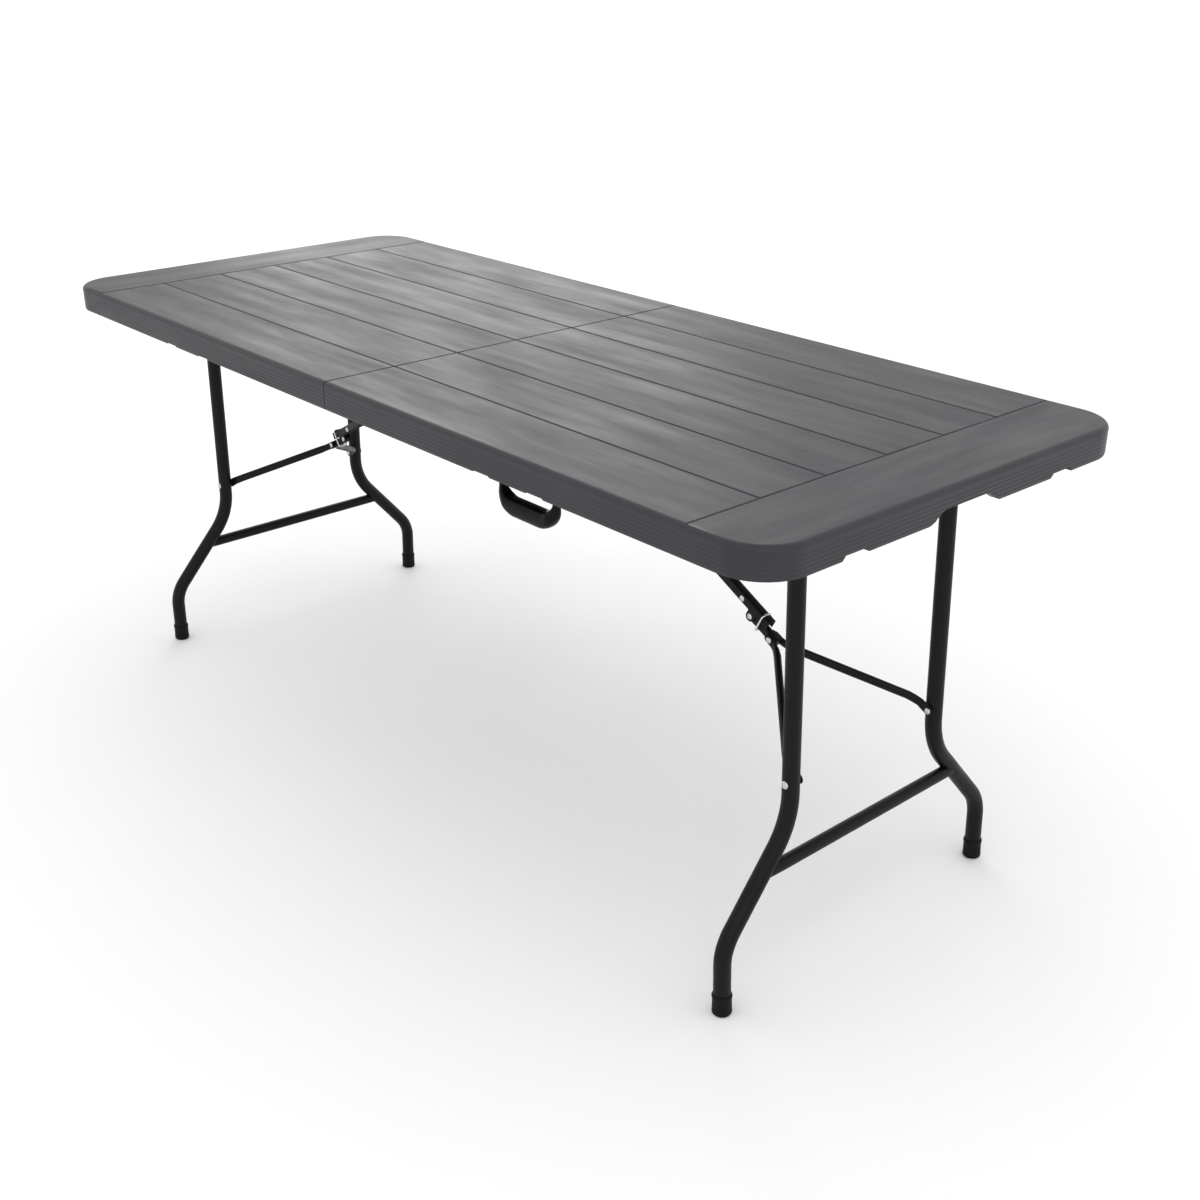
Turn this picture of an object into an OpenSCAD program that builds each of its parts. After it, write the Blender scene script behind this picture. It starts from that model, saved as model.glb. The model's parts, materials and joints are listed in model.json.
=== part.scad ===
// Folding table that closes in half like a case.
// Two hollow moulded halves, steel rails, splayed leg frames and wishbone braces.
// Origin on the floor under the middle of the table, +X to the right, +Z up, millimetres.

/* [Table] */
// Length of the open table
table_l = 1800; // [1700:1:1900]
// Width of the table
table_w = 740; // [720:1:780]
// Height of the table top above the floor
table_h = 740; // [720:1:760]
// Gap between the two halves
seam_gap = 1.5; // [1:0.1:3]

/* [Top halves] */
// Height of the rim
rim_h = 44; // [42:1:50]
// Thickness of the rim wall
rim_t = 12; // [10:0.5:12]
// Thickness of the rim wall along the seam
seam_rim_t = 8; // [5:0.5:9]
// Thickness of the panel inside the rim
panel_t = 15; // [15:0.5:16]
// Thickness of the moulded skins
skin_t = 2; // [2:0.5:3.5]
// Corner radius seen from above
corner_r = 72; // [60:1:90]
// Radius of the top edge
top_edge_r = 8; // [4:0.5:8]
// Width of one moulded plank
plank_w = 120.4; // [118:0.1:124]
// Width of the cross band at each end
band_w = 129; // [110:1:140]
// Depth of the grooves between planks
groove_d = 1; // [0.4:0.1:1.4]
// Depth of the hand recess in each end rim
end_recess_d = 16; // [8:1:20]

/* [Leg frames] */
// Distance of the leg pivots from the seam
leg_x = 762; // [760:1:770]
// Outward lean of the leg frames in degrees
lean = 2; // [0:0.5:3]
// Diameter of the leg tubes
leg_d = 25; // [22:1:25]
// Wall of the leg tubes
tube_wall = 1.2; // [1:0.1:2]
// Half distance between the upper legs
upper_y = 157.5; // [150:0.5:165]
// Half distance between the feet
foot_y = 287; // [275:1:290]
// Height of the upper bend
upper_bend_z = 252; // [240:1:265]
// Height of the lower bend
lower_bend_z = 104; // [95:1:115]
// Height of the cross bar
cross_z = 192; // [180:1:205]
// Height of the brace rivets
brace_rivet_z = 312; // [305:1:320]

/* [Brace and handle] */
// Distance of the brace bars from the seam
bar_x = 35; // [33:1:38]
// Diameter of the wishbone tubes
brace_d = 11; // [9:1:12]
// Middle of the carry handle from the seam
handle_x = 441; // [430:1:460]
// Width of the carry handle
handle_w = 122; // [110:1:130]

/* [Hidden] */
$fn = 64;
eps = 0.05;

// levels
rim_z = table_h - rim_h;
under_z = table_h - panel_t;
end_x = table_l / 2;
side_y = table_w / 2;
seam_x = seam_gap / 2;

// rails
rail_w = 12;
rail_h = 24.9;
rail_wall = 1.5;
rail_top = under_z - eps;
rail_z = rail_top - rail_h;
rail_in = side_y - rim_t - rail_w - 1;
rail_x0 = seam_x + seam_rim_t + 3;
rail_x1 = end_x - corner_r - 2;
screw_x = [110, 330, 560, 700];
screw_r = 1.9;
screw_hole_r = 2.1;

// centre hinge
hinge_z = rim_z - 4;
leaf_t = 3;
eye_r = 8;
hinge_pin_r = 4;
leaf_len = 70;
leaf_y = rail_in - eps - leaf_t;
jog_y = leaf_y - leaf_t - 0.6;
leaf_rivet_x = [58, 80];

// leg pivots, in millimetres above the floor
pivot_z = under_z - 3 - leg_d / 2;
pivot_tube_r = 11;
spigot_r = 6;
bush_r = 7.7;
run_gap = 0.06;
foot_r = 14.5;
foot_h = 32;
tube_lift = 6;

// leg path, measured down the leaning leg
function down(z) = (pivot_z - z) / cos(lean);
upper_s = down(upper_bend_z);
lower_s = down(lower_bend_z);
splay = atan((foot_y - upper_y) / (lower_s - upper_s));
upper_r = 115;
lower_r = 70;
function bend_len(r) = r * tan(splay / 2);
rivet_s = down(brace_rivet_z);
cross_s = down(cross_z);
cross_r = 9.5;
cross_out = 3;

// brace: straight when the legs stand and folded flat on itself when they lie under the top
bar_z = pivot_z - 1.5;
rivet_x = leg_x + rivet_s * sin(lean);
rivet_z = pivot_z - rivet_s * cos(lean);
open_len = norm([rivet_x - bar_x, bar_z - rivet_z]);
shut_len = norm([leg_x - rivet_s - bar_x, pivot_z - bar_z]);
link_len = (open_len + shut_len) / 2;
wish_len = (open_len - shut_len) / 2;
brace_fall = atan((bar_z - rivet_z) / (rivet_x - bar_x));
bar_r = 8;

// brace link section
link_half = 7;
link_wall = 2;
link_low = 7.5;
link_high = 21;
ear_r = 11;
tail_l = 34;
joint_r = 3.5;
tongue_half = link_half - link_wall - 0.4;
ring_wire = 1.5;
ring_u = link_len + 20;

// wishbone
tube_u = 52;
plate_t = 3;
plate_y = upper_y - leg_d / 2 - 0.7 - plate_t;
plate_r = 8;

// link channel in the underside of the panel
channel_half = 15;
channel_top = table_h - 4.7;
channel_x0 = 20;
channel_x1 = 672;

// handle
handle_y = -331;
handle_z = rim_z - 6;
handle_drop = 55;
grip_h = 28;
grip_half = 12;
arm_w = 11;
arm_r = 5;
handle_pin_r = 2.5;
handle_screw_x = handle_w / 2 + 9;

steel_black = [0.13, 0.13, 0.14];
plastic_grey = [0.30, 0.30, 0.32];
plastic_black = [0.06, 0.06, 0.06];
zinc = [0.75, 0.76, 0.78];

module side(s) {
    if (s < 0) mirror([1, 0, 0]) children();
    else children();
}

// A cylinder lying along Y between two values
module bar_y(r, y0, y1) {
    translate([0, y0, 0]) rotate([-90, 0, 0]) cylinder(r = r, h = y1 - y0);
}

// ---------- top halves ----------

module half_outline(inset, seam) {
    x0 = seam_x + seam;
    x1 = end_x - inset;
    w = side_y - inset;
    r = corner_r - inset;
    union() {
        translate([x0, -w + r]) square([x1 - x0, 2 * (w - r)]);
        translate([x0, -w]) square([x1 - r - x0, 2 * w]);
        for (s = [-1, 1]) translate([x1 - r, s * (w - r)]) circle(r, $fn = 96);
    }
}

// Half a section of the block: square below, rounded at the top outer edge
module edge_section(w) {
    e = top_edge_r;
    square([w, rim_h - e]);
    square([w - e, rim_h]);
    translate([w - e, rim_h - e]) circle(e);
}

// A straight run, an end strip and two turned corners that meet on flat faces
module rounded_block() {
    straight_x = end_x - corner_r;
    straight_y = side_y - corner_r;
    translate([0, 0, rim_z]) {
        translate([seam_x, 0, 0]) rotate([90, 0, 90]) linear_extrude(straight_x - seam_x)
            for (m = [0, 1]) mirror([m, 0]) edge_section(side_y);
        translate([straight_x, straight_y, 0]) rotate([90, 0, 0]) linear_extrude(2 * straight_y)
            edge_section(corner_r);
        for (s = [-1, 1]) translate([straight_x, s * straight_y, 0])
            rotate([0, 0, s > 0 ? 0 : -90]) rotate_extrude(angle = 90, $fn = 96) edge_section(corner_r);
    }
}

function smooth(t) = t * t * (3 - 2 * t);

// Outline of the hand recess in the end rim: flat in the middle with S-shaped flanks
module end_recess_outline() {
    flat = 40;
    reach = 76;
    steps = 10;
    flank = [for (i = [0:steps]) let (t = i / steps)
        [flat + (reach - flat) * t, end_recess_d * (1 - smooth(t))]];
    polygon(concat([[-reach, -1], [reach, -1]], [for (i = [steps:-1:0]) flank[i]],
        [for (p = flank) [-p[0], p[1]]]));
}

module grooves() {
    r = 3;
    z = table_h + r - groove_d;
    band_x = end_x - band_w;
    for (i = [-2:2]) translate([seam_x - 1, i * plank_w, z]) rotate([0, 90, 0])
        cylinder(r = r, h = band_x - seam_x + 1, $fn = 32);
    translate([band_x, 0, z]) bar_y(r, -side_y, side_y, $fn = 32);
}

// The hollow between the two skins, one cell under each plank, joined by passages to one vent
module hollow_cells() {
    z0 = under_z + skin_t;
    h = panel_t - 2 * skin_t;
    web = skin_t / 2;
    pass_w = 10;
    edges = [channel_half + skin_t, plank_w, 2 * plank_w, rail_in - 4];
    last = edges[3];
    band_x = end_x - band_w;
    for (s = [-1, 1], i = [0:2]) {
        y0 = edges[i] + (i == 0 ? 0 : web);
        y1 = edges[i + 1] - (i == 2 ? 0 : web);
        for (span = [[14, band_x - web], [band_x + web, end_x - 38]])
            translate([span[0], s > 0 ? y0 : -y1, z0]) cube([span[1] - span[0], y1 - y0, h]);
    }
    for (x = [band_x - 70, band_x + 30]) translate([x, -last + 20, z0]) cube([pass_w, 2 * last - 40, h]);
    translate([band_x - 20, plank_w / 2, z0]) cube([40, pass_w, h]);
    translate([band_x - 65, 2 * channel_half, under_z - 1]) cylinder(r = 4, h = skin_t + 2);
}

module top_panel() {
    notch_w = 38;
    notch_d = 2.5;
    end_notch_y = 212;
    end_notch_w = 44;
    end_notch_d = 7;
    hinge_gap_w = side_y - rim_t - jog_y + 8;
    color(plastic_grey) difference() {
        rounded_block();
        translate([0, 0, rim_z - 1]) linear_extrude(under_z - rim_z + 1) half_outline(rim_t, seam_rim_t);
        translate([channel_x0, -channel_half, under_z - 1])
            cube([channel_x1 - channel_x0, 2 * channel_half, channel_top - under_z + 1]);
        translate([end_x - rim_t - 1, 0, rim_z]) rotate([90, 0, 90]) linear_extrude(rim_t + 2)
            end_recess_outline();
        for (s = [-1, 1]) {
            for (x = [385, 497]) translate([x - notch_w / 2, s * (side_y - rim_t / 2) - rim_t, rim_z - 1])
                cube([notch_w, 2 * rim_t, notch_d + 1]);
            translate([end_x - rim_t - 1, s * end_notch_y - end_notch_w / 2, rim_z - 1])
                cube([rim_t + 2, end_notch_w, end_notch_d + 1]);
            translate([0, s * (jog_y + side_y - rim_t) / 2 - hinge_gap_w / 2, rim_z - 1])
                cube([seam_x + seam_rim_t + 1, hinge_gap_w, under_z - rim_z + 1]);
        }
        grooves();
        hollow_cells();
        for (s = [-1, 1], x = screw_x) translate([x, s * (rail_in + rail_w / 2), under_z - 1])
            cylinder(r = screw_hole_r, h = 10, $fn = 24);
    }
}

// ---------- rails and what is fixed to them ----------

module rail(s, with_handle) {
    y0 = s > 0 ? rail_in : -rail_in - rail_w;
    inner_y = s > 0 ? rail_in : -rail_in;
    w = rail_wall;
    color(steel_black) difference() {
        translate([rail_x0, y0, rail_z]) cube([rail_x1 - rail_x0, rail_w, rail_h]);
        translate([rail_x0 - 1, y0 + w, rail_z + w])
            cube([rail_x1 - rail_x0 + 2, rail_w - 2 * w, rail_h - 2 * w]);
        translate([leg_x, inner_y, pivot_z]) bar_y(bush_r + eps, -4, 4);
        translate([bar_x, inner_y, bar_z]) bar_y(bar_r + eps, -4, 4);
        for (x = screw_x) translate([x, y0 + rail_w / 2, rail_z - 1])
            cylinder(r = screw_hole_r, h = rail_h + 2, $fn = 24);
        for (x = leaf_rivet_x) translate([x, inner_y, rail_z + rail_h / 2])
            bar_y(screw_hole_r, -4, 4, $fn = 24);
        if (with_handle) for (side = [-1, 1])
            translate([handle_x + side * handle_screw_x, y0 + rail_w / 2, rail_z - 1])
                cylinder(r = screw_hole_r, h = 4, $fn = 24);
    }
}

module brace_bar() {
    color(steel_black) translate([bar_x, 0, bar_z]) difference() {
        bar_y(bar_r, -rail_in - 1.4, rail_in + 1.4);
        bar_y(bar_r - 1.2, -rail_in - 2, rail_in + 2);
    }
}

module rail_screws() {
    head_h = 2.4;
    color(zinc) for (s = [-1, 1], x = screw_x)
        translate([x, s * (rail_in + rail_w / 2), rail_z - head_h - eps]) {
            cylinder(r = 4, h = head_h, $fn = 24);
            cylinder(r = screw_r, h = rail_h + 9, $fn = 24);
        }
}

module leg_bushes() {
    color(plastic_black) for (s = [-1, 1]) translate([leg_x, 0, pivot_z]) rotate([0, 0, s > 0 ? 0 : 180])
        difference() {
            union() {
                bar_y(bush_r, rail_in - eps, rail_in + 6);
                bar_y(bush_r + 3, rail_in - eps - 1.5, rail_in - eps);
            }
            bar_y(spigot_r + run_gap, rail_in - 4, rail_in + 8);
        }
}

// The eye round the pin and the arm that rises from it to the plate
module leaf_side_view(reach) {
    rise = 24;
    difference() {
        union() {
            circle(eye_r);
            polygon([[-4.6, 4.6], [4.6, -4.6], [reach, 6], [reach, rise], [9, rise], [9, 18]]);
        }
        circle(hinge_pin_r + run_gap);
    }
}

// One leaf runs straight to the pin, the other steps inwards beside it
module hinge_leaf(s, stepped) {
    y = stepped ? jog_y : leaf_y;
    lift = rail_z + rail_h / 2;
    plate_x0 = stepped ? 24 : 16;
    color(steel_black) rotate([0, 0, s > 0 ? 0 : 180]) mirror([s > 0 ? 0 : 1, 0, 0]) difference() {
        union() {
            translate([plate_x0, leaf_y, rail_z + 1]) cube([leaf_len + 20 - plate_x0, leaf_t, rail_h - 3]);
            translate([0, y + leaf_t, hinge_z]) rotate([90, 0, 0]) linear_extrude(leaf_t)
                leaf_side_view(plate_x0 + 4);
            if (stepped) translate([plate_x0, y, rail_z + 1]) cube([6, leaf_y + leaf_t - y, rail_h - 3]);
        }
        for (x = leaf_rivet_x) translate([x, leaf_y, lift]) bar_y(screw_hole_r, -1, leaf_t + 1, $fn = 24);
        translate([bar_x, leaf_y, bar_z]) bar_y(bar_r + eps, -leaf_t - 2, leaf_t + 1);
    }
}

module hinge_rivets() {
    lift = rail_z + rail_h / 2;
    color(zinc) for (s = [0, 180]) rotate([0, 0, s]) mirror([s > 0 ? 1 : 0, 0, 0])
        for (x = leaf_rivet_x) translate([x, 0, lift]) {
            bar_y(4, leaf_y - 2 - eps, leaf_y - eps, $fn = 24);
            bar_y(screw_r, leaf_y - 1, rail_in + 3, $fn = 24);
        }
}

module hinge_pin(s) {
    color(zinc) translate([0, 0, hinge_z]) rotate([0, 0, s > 0 ? 0 : 180]) {
        bar_y(hinge_pin_r, jog_y - 1, leaf_y + leaf_t + 1);
        bar_y(6.5, jog_y - 3, jog_y - 0.3);
        bar_y(6, leaf_y + leaf_t + 0.3, leaf_y + leaf_t + 2.3);
    }
}

// ---------- leg frame ----------

// Places children in the plane of the leaning leg frame: X across the table, Y up the leg, Z outwards
module leg_plane() {
    translate([leg_x, 0, pivot_z]) rotate([0, -lean, 0]) rotate([90, 0, 90]) children();
}

// A round bar along Y, hollow when a wall is given
module rod(r, y0, y1, wall = 0) {
    rotate([-90, 0, 0]) translate([0, 0, y0]) difference() {
        cylinder(r = r, h = y1 - y0);
        if (wall > 0) translate([0, 0, -1]) cylinder(r = r - wall, h = y1 - y0 + 2);
    }
}

module bend(r_path, r, angle, wall = 0) {
    rotate_extrude(angle = angle, $fn = 72) translate([r_path, 0]) difference() {
        circle(r);
        if (wall > 0) circle(r - wall);
    }
}

// A short sleeve inside the tube that carries it across a joint between two lengths
module joint_sleeve(r, wall) {
    if (wall > 0) rod(r - wall / 2, -2, 2, wall);
}

// The leg along its centre line: straight down, out through the splay, straight down again.
// Each piece is placed from the end of the one before.
module leg_shape(r, wall = 0) {
    a = bend_len(upper_r);
    b = bend_len(lower_r);
    gap = 0.1;
    slant = norm([foot_y - upper_y, lower_s - upper_s]) - a - b;
    last = down(0) - tube_lift - lower_s - b;
    translate([upper_y, a - upper_s]) {
        rod(r, gap, upper_s - a, wall);
        joint_sleeve(r, wall);
        translate([upper_r, 0]) rotate([0, 0, 180]) {
            bend(upper_r, r, splay, wall);
            rotate([0, 0, splay]) translate([upper_r, 0]) {
                joint_sleeve(r, wall);
                rod(r, gap, slant - gap, wall);
                translate([0, slant]) joint_sleeve(r, wall);
                translate([lower_r, slant]) mirror([1, 0, 0]) {
                    bend(lower_r, r, splay, wall);
                    rotate([0, 0, splay]) translate([lower_r, 0]) {
                        joint_sleeve(r, wall);
                        rod(r, gap, last, wall);
                    }
                }
            }
        }
    }
}

module leg(s) {
    color(steel_black) leg_plane() mirror([s > 0 ? 0 : 1, 0, 0]) difference() {
        leg_shape(leg_d / 2, tube_wall);
        rotate([0, 90, 0]) cylinder(r = pivot_tube_r + eps, h = 400);
        translate([upper_y, -rivet_s, 0]) rotate([0, 90, 0])
            cylinder(r = 3.1, h = 60, center = true, $fn = 32);
    }
}

module leg_pivot_tube() {
    shoulder = rail_in - eps - 1.5 - 0.4;
    color(steel_black) translate([leg_x, 0, pivot_z]) difference() {
        union() {
            bar_y(pivot_tube_r, -shoulder, shoulder);
            bar_y(spigot_r, -rail_in - 5, rail_in + 5);
        }
        bar_y(pivot_tube_r - 1.5, -shoulder + 8, shoulder - 8);
        bar_y(spigot_r - 1.5, -rail_in - 6, rail_in + 6);
    }
}

module cross_bar() {
    half = upper_y + (cross_s - upper_s) * tan(splay);
    color(steel_black) leg_plane() difference() {
        translate([0, -cross_s, cross_out]) rotate([0, 90, 0]) difference() {
            cylinder(r = cross_r, h = 2 * half, center = true);
            cylinder(r = cross_r - 1.2, h = 2 * half + 1, center = true);
        }
        for (m = [0, 1]) mirror([m, 0, 0]) leg_shape(leg_d / 2 + eps);
    }
}

module foot(s) {
    edge = 3;
    s_end = down(0);
    color(plastic_black) difference() {
        leg_plane() mirror([s > 0 ? 0 : 1, 0, 0]) translate([foot_y, 0]) difference() {
            union() {
                rod(foot_r, -s_end - 1, -(s_end - foot_h + edge));
                rod(foot_r - edge, -(s_end - foot_h + edge), -(s_end - foot_h));
                translate([0, -(s_end - foot_h + edge)]) rotate([90, 0, 0])
                    rotate_extrude() translate([foot_r - edge, 0]) circle(edge, $fn = 24);
            }
            rod(leg_d / 2 + eps, -(s_end - tube_lift + eps), -(s_end - foot_h - 5));
        }
        translate([0, 0, -30]) linear_extrude(30) square([table_l * 2, table_w * 2], center = true);
    }
}

module leg_rivets() {
    color(zinc) leg_plane() for (m = [0, 1]) mirror([m, 0, 0]) translate([upper_y, -rivet_s, 0])
        rotate([0, 90, 0]) {
            translate([0, 0, -leg_d / 2 + 0.2]) cylinder(r = 3, h = leg_d, $fn = 32);
            translate([0, 0, leg_d / 2 + 0.1]) cylinder(r = 6, h = 2, $fn = 32);
        }
}

// ---------- brace ----------

// Places children along the brace: X down towards the leg, Z square to it
module brace_line() {
    translate([bar_x, 0, bar_z]) rotate([0, brace_fall, 0]) children();
}

module link_side_profile() {
    difference() {
        union() {
            translate([-ear_r + 3, link_low]) square([link_len + tail_l + ear_r - 3, link_high - link_low]);
            circle(ear_r);
            translate([-8, 0]) square([16, link_low + 1]);
            translate([link_len, 0]) circle(8);
            translate([link_len - 8, 0]) square([16, link_low + 1]);
        }
        circle(bar_r + run_gap);
        translate([link_len, 0]) circle(joint_r + eps);
    }
}

module brace_link() {
    color(steel_black) brace_line() {
        for (s = [0, 1]) mirror([0, s, 0]) translate([0, link_half, 0]) rotate([90, 0, 0])
            linear_extrude(link_wall) link_side_profile();
        translate([-ear_r + 3, -link_half, link_high - link_wall])
            cube([link_len + tail_l + ear_r - 3, 2 * link_half, link_wall]);
    }
}

// The joint rivet runs through both cheeks and the tongue, a smaller one ties the cheeks
module link_rivets() {
    color(zinc) brace_line() {
        translate([link_len, 0, 0]) {
            bar_y(joint_r, -link_half - 0.2, link_half + 0.2);
            for (s = [0, 180]) rotate([0, 0, s]) bar_y(5.5, link_half + 0.1, link_half + 0.5);
        }
        for (s = [0, 180]) translate([link_len - 26, 0, 13]) rotate([0, 0, s])
            bar_y(3.2, link_half + 0.1, link_half + 0.5);
    }
}

module lock_ring() {
    y = link_half + 0.6 + ring_wire;
    z0 = -link_low - 0.4 - ring_wire;
    z1 = link_high + 0.5 + ring_wire;
    color(zinc) brace_line() translate([ring_u, 0, 0]) {
        for (s = [-1, 1]) translate([0, s * y, z0]) cylinder(r = ring_wire, h = z1 - z0, $fn = 24);
        for (z = [z0, z1]) {
            translate([0, 0, z]) bar_y(ring_wire, -y, y, $fn = 24);
            for (s = [-1, 1]) translate([0, s * y, z]) sphere(ring_wire, $fn = 24);
        }
    }
}

// Places children at the joint between link and wishbone
module wish_line() {
    brace_line() translate([link_len, 0, 0]) children();
}

module brace_apex() {
    h = 6.5;
    color(steel_black) wish_line() difference() {
        union() {
            bar_y(h, -tongue_half, tongue_half);
            translate([0, -tongue_half, -h]) cube([tail_l + 4, 2 * tongue_half, 2 * h]);
            translate([tail_l + 4, -link_half, -h]) cube([20, 2 * link_half, 2 * h]);
        }
        bar_y(joint_r + run_gap, -20, 20);
        translate([tail_l + 14, 0, 0]) bar_y(2.6, -20, 20, $fn = 24);
    }
}

// Flattened ends at the apex and beside the leg, with a straight tube between
module brace_tube(s) {
    y0 = link_half + eps;
    u1 = wish_len - 30;
    from = [tube_u + 12, y0 + 5];
    to = [u1 + 8, plate_y - 1];
    run = to - from;
    turn = atan(run[1] / run[0]);
    color(steel_black) wish_line() mirror([0, s > 0 ? 0 : 1, 0]) difference() {
        union() {
            translate([tail_l + 14, y0, 0]) bar_y(6.5, 0, plate_t);
            translate([tail_l + 14, y0, -6.5]) cube([tube_u - tail_l - 8, plate_t, 13]);
            translate([tube_u + 6, y0, 0]) rotate([0, 0, turn]) translate([-1, 0, -6])
                cube([12, plate_t + 2, 12]);
            translate([from[0], from[1], 0]) rotate([0, 90, turn]) cylinder(r = brace_d / 2, h = norm(run));
            translate([u1, plate_y, -plate_r]) cube([wish_len - u1, plate_t, 2 * plate_r]);
            translate([wish_len, plate_y, 0]) bar_y(plate_r, 0, plate_t);
        }
        translate([wish_len, plate_y, 0]) bar_y(2.6, -1, plate_t + 1, $fn = 24);
        translate([tail_l + 14, y0, 0]) bar_y(2.6, -1, plate_t + 1, $fn = 24);
        translate([u1 - 20, plate_y + plate_t, -20]) cube([60, 20, 40]);
        translate([0, -20, -20]) cube([wish_len, 20 + y0 - eps, 40]);
    }
}

module brace_rivets() {
    out = link_half + eps + plate_t;
    color(zinc) wish_line() {
        translate([tail_l + 14, 0, 0]) {
            bar_y(2.4, -out - 0.1, out + 0.1, $fn = 24);
            for (s = [0, 180]) rotate([0, 0, s]) bar_y(4.5, out + 0.1, out + 1.8, $fn = 24);
        }
        for (s = [0, 1]) mirror([0, s, 0]) translate([wish_len, 0, 0]) {
            bar_y(2.4, plate_y - 0.2, plate_y + plate_t - 0.1, $fn = 24);
            bar_y(5.5, plate_y - 2.2, plate_y - 0.1, $fn = 24);
        }
    }
}

// ---------- handle ----------

module handle_front_view() {
    w = handle_w / 2;
    r = 20;
    drop = handle_drop;
    difference() {
        union() {
            for (s = [-1, 1]) {
                translate([s * (w - arm_w / 2), 0]) circle(arm_r);
                translate([s * (w - arm_w / 2) - arm_w / 2, -drop + r]) square([arm_w, drop - r]);
                translate([s * (w - r), -drop + r]) circle(r);
            }
            translate([-w, -drop + r]) square([2 * w, grip_h - r + 6]);
            translate([-w + r, -drop]) square([2 * (w - r), r + 6]);
        }
        translate([-w + arm_w, -drop + grip_h]) square([2 * (w - arm_w), drop]);
    }
}

module carry_handle() {
    color(plastic_black) translate([handle_x, handle_y, handle_z]) difference() {
        intersection() {
            rotate([90, 0, 0]) translate([0, 0, -grip_half])
                linear_extrude(2 * grip_half) handle_front_view();
            rotate([90, 0, 90]) linear_extrude(handle_w + 2, center = true) union() {
                circle(arm_r);
                translate([-arm_r, -handle_drop + grip_h]) square([2 * arm_r, handle_drop - grip_h]);
                translate([-grip_half, -handle_drop]) square([2 * grip_half, grip_h]);
            }
        }
        rotate([0, 90, 0]) cylinder(r = handle_pin_r + run_gap, h = handle_w + 10, center = true, $fn = 32);
    }
}

// Two brackets under the front rail, each with the pin that the handle swings on
module handle_brackets() {
    t = 3;
    foot_z = rail_z - eps - 2;
    y0 = -rail_in - rail_w + 1;
    color(steel_black) for (m = [0, 1]) translate([handle_x, 0, 0]) mirror([m, 0, 0])
        translate([handle_w / 2 + 0.5, 0, 0]) difference() {
            union() {
                translate([0, y0, foot_z]) cube([17, handle_y + 7 - y0, 2]);
                translate([0, handle_y - 7, handle_z]) cube([t, 14, foot_z - handle_z + 1]);
                translate([0, handle_y, handle_z]) rotate([0, 90, 0]) cylinder(r = 7, h = t);
                translate([-arm_w + 0.5, handle_y, handle_z]) rotate([0, 90, 0])
                    cylinder(r = handle_pin_r, h = arm_w, $fn = 32);
            }
            translate([handle_screw_x - handle_w / 2 - 0.5, -rail_in - rail_w / 2, foot_z - 1])
                cylinder(r = screw_hole_r, h = 5, $fn = 24);
        }
}

module handle_screws() {
    head_h = 2.2;
    color(zinc) for (s = [-1, 1])
        translate([handle_x + s * handle_screw_x, -rail_in - rail_w / 2, rail_z - 2 - 2 * eps - head_h]) {
            cylinder(r = 4, h = head_h, $fn = 24);
            cylinder(r = screw_r, h = 8, $fn = 24);
        }
}

side(-1) top_panel();  // left_top_panel
side(-1) rail(-1, false);  // left_front_rail
side(-1) rail(1, false);  // left_rear_rail
side(-1) brace_bar();  // left_brace_bar
side(-1) rail_screws();  // left_rail_screws
side(-1) leg_bushes();  // left_leg_bushes
side(-1) hinge_leaf(-1, false);  // front_left_hinge_leaf
side(-1) hinge_leaf(1, false);  // rear_left_hinge_leaf
side(-1) hinge_rivets();  // left_hinge_rivets
hinge_pin(-1);  // front_hinge_pin
hinge_pin(1);  // rear_hinge_pin
top_panel();  // right_top_panel
rail(-1, true);  // right_front_rail
rail(1, false);  // right_rear_rail
brace_bar();  // right_brace_bar
rail_screws();  // right_rail_screws
leg_bushes();  // right_leg_bushes
hinge_leaf(-1, true);  // front_right_hinge_leaf
hinge_leaf(1, true);  // rear_right_hinge_leaf
hinge_rivets();  // right_hinge_rivets
handle_brackets();
handle_screws();
carry_handle();
side(-1) leg_pivot_tube();  // left_leg_pivot_tube
side(-1) leg(-1);  // left_front_leg
side(-1) leg(1);  // left_rear_leg
side(-1) cross_bar();  // left_cross_bar
side(-1) foot(-1);  // left_front_foot
side(-1) foot(1);  // left_rear_foot
side(-1) leg_rivets();  // left_leg_rivets
leg_pivot_tube();  // right_leg_pivot_tube
leg(-1);  // right_front_leg
leg(1);  // right_rear_leg
cross_bar();  // right_cross_bar
foot(-1);  // right_front_foot
foot(1);  // right_rear_foot
leg_rivets();  // right_leg_rivets
side(-1) brace_link();  // left_brace_link
side(-1) link_rivets();  // left_link_rivets
side(-1) lock_ring();  // left_lock_ring
brace_link();  // right_brace_link
link_rivets();  // right_link_rivets
lock_ring();  // right_lock_ring
side(-1) brace_tube(-1);  // left_front_brace_tube
side(-1) brace_tube(1);  // left_rear_brace_tube
side(-1) brace_apex();  // left_brace_apex
side(-1) brace_rivets();  // left_brace_rivets
brace_tube(-1);  // right_front_brace_tube
brace_tube(1);  // right_rear_brace_tube
brace_apex();  // right_brace_apex
brace_rivets();  // right_brace_rivets
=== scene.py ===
# %% [markdown]
# # A folding table that closes in half
# This lesson dresses a measured model of a folding table: two moulded plastic halves with a plank
# pattern, splayed steel leg frames, wishbone braces with sliding lock rings and a swinging handle.
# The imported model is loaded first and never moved. Every piece made here rides on one of its bodies,
# so the table still folds when the joints turn.

# %% Load the frame
import json
import math

import bmesh
import bpy
from mathutils import Matrix, Vector

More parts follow.
